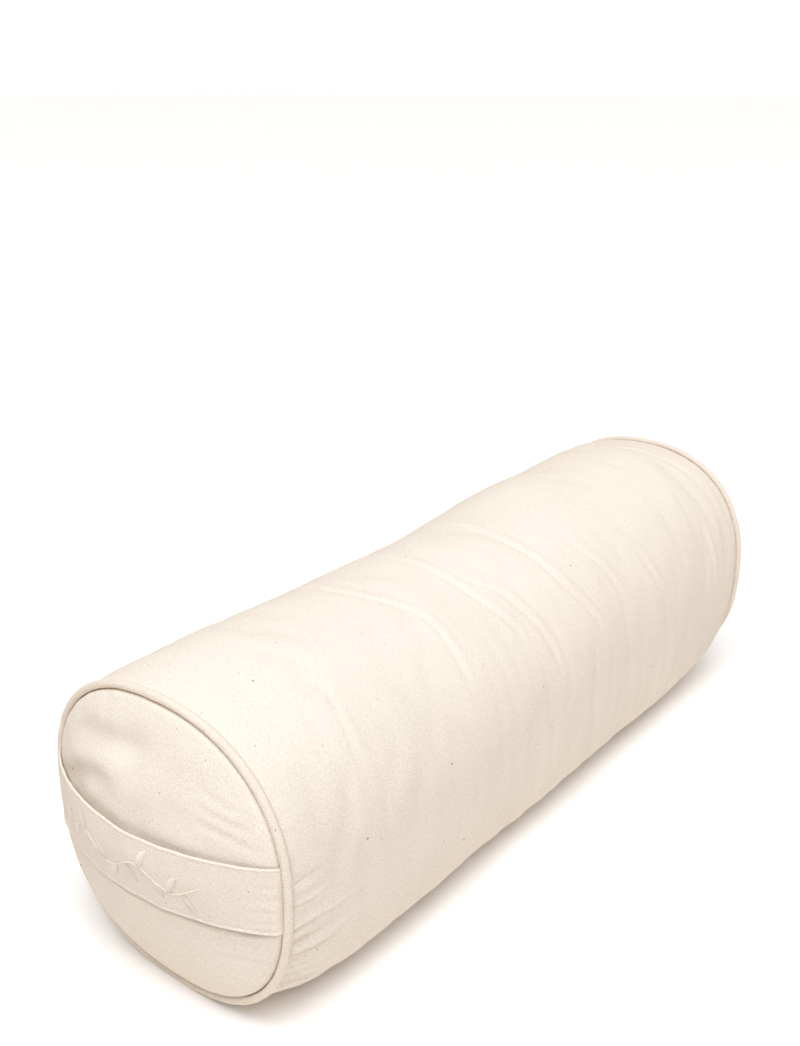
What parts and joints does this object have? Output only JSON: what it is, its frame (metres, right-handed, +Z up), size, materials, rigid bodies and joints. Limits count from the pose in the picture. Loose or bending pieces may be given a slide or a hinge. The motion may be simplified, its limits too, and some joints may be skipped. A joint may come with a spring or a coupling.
{
  "type": "bolster pillow",
  "caption": "Round floor bolster in natural canvas with piped end seams, a strap handle across one end and a long zip along its far side.",
  "frame": {"origin": "middle of the flat underside, halfway between the two end seams, on the floor", "axes": "+Z up, +Y along the bolster away from the handle, +X to the right when looking at the handle end; the zip is on the -X side"},
  "size_m": [0.2329, 0.7188, 0.2402],
  "materials": {
    "canvas": "unbleached plain-weave cotton canvas with a few dark seed flecks",
    "piping": "the same canvas cut on the bias and folded round a cord",
    "piping_cord": "twisted cotton cord",
    "strap": "two layers of the canvas with turned edges and edge stitching",
    "inner_cotton": "light plain cotton",
    "hulls": "loose dry grain hulls",
    "zip_tape": "narrow woven tape",
    "zip_coil": "moulded nylon coil",
    "zip_metal": "dull nickel on cast metal"
  },
  "bodies": {
    "bolster": {"cover_wrap": "canvas", "front_end_panel": "canvas", "rear_end_panel": "canvas", "front_piping_strip": "piping", "rear_piping_strip": "piping", "front_piping_cord": "piping_cord", "rear_piping_cord": "piping_cord", "handle_backing_left_leg": "strap", "handle_backing_right_leg": "strap", "handle_face_left_leg": "strap", "handle_face_right_leg": "strap", "zip_tape_upper": "zip_tape", "zip_tape_lower": "zip_tape", "zip_coil_upper": "zip_coil", "zip_coil_lower": "zip_coil", "zip_stop_closed_end": "zip_metal", "zip_stop_open_end": "zip_metal", "inner_bag_wrap": "inner_cotton", "inner_bag_front_disc": "inner_cotton", "inner_bag_rear_disc": "inner_cotton", "hull_filling": "hulls"},
    "grip": {"handle_backing_grip": "strap", "handle_face_grip": "strap"},
    "slider": {"zip_slider": "zip_metal", "zip_pull_pin": "zip_metal"},
    "pull": {"zip_pull_tab": "zip_metal"}
  },
  "joints": [
    {"name": "handle_lift", "type": "slide", "parent": "bolster", "child": "grip", "axis": [0, -1, 0], "range_m": [0, 0.014]},
    {"name": "zip_slide", "type": "slide", "parent": "bolster", "child": "slider", "axis": [0, 1, 0], "range_m": [0, 0.482]},
    {"name": "pull_swing", "type": "hinge", "parent": "slider", "child": "pull", "pos_m": [-0.1181, -0.2411, 0.117], "axis": [0, 0, 1], "range_deg": [0, 175]}
  ]
}
